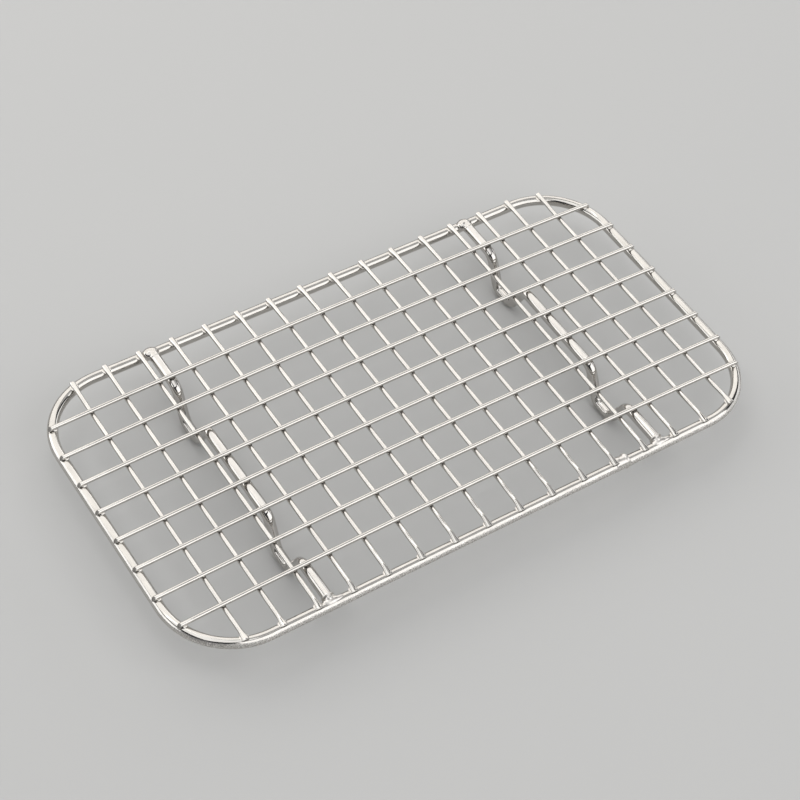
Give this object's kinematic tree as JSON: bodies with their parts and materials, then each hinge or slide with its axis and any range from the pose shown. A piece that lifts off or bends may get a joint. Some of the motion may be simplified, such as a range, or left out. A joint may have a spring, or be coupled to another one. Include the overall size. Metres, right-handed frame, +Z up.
{
  "type": "cooling rack",
  "caption": "Footed wire rack that holds baked goods off a counter or pan: a square-mesh welded wire grid on a thick round-cornered rim wire, carried by bent leg wires.",
  "frame": {"origin": "centre of the rack's footprint, on the surface that its feet stand on", "axes": "+X along the rack's length, +Y to the back, +Z up"},
  "size_m": [0.28, 0.152, 0.023],
  "materials": {
    "rim_steel": "bright polished stainless steel wire",
    "leg_steel": "bright polished stainless steel wire",
    "grid_steel": "bright polished stainless steel wire"
  },
  "bodies": {
    "root": {"rim_wire": "rim_steel", "left_leg_wire": "leg_steel", "right_leg_wire": "leg_steel", "cross_wire_01": "grid_steel", "cross_wire_02": "grid_steel", "cross_wire_03": "grid_steel", "cross_wire_04": "grid_steel", "cross_wire_05": "grid_steel", "cross_wire_06": "grid_steel", "cross_wire_07": "grid_steel", "cross_wire_08": "grid_steel", "cross_wire_09": "grid_steel", "cross_wire_10": "grid_steel", "cross_wire_11": "grid_steel", "cross_wire_12": "grid_steel", "cross_wire_13": "grid_steel", "cross_wire_14": "grid_steel", "cross_wire_15": "grid_steel", "cross_wire_16": "grid_steel", "long_wire_1": "grid_steel", "long_wire_2": "grid_steel", "long_wire_3": "grid_steel", "long_wire_4": "grid_steel", "long_wire_5": "grid_steel", "long_wire_6": "grid_steel", "long_wire_7": "grid_steel", "long_wire_8": "grid_steel"}
  },
  "joints": []
}
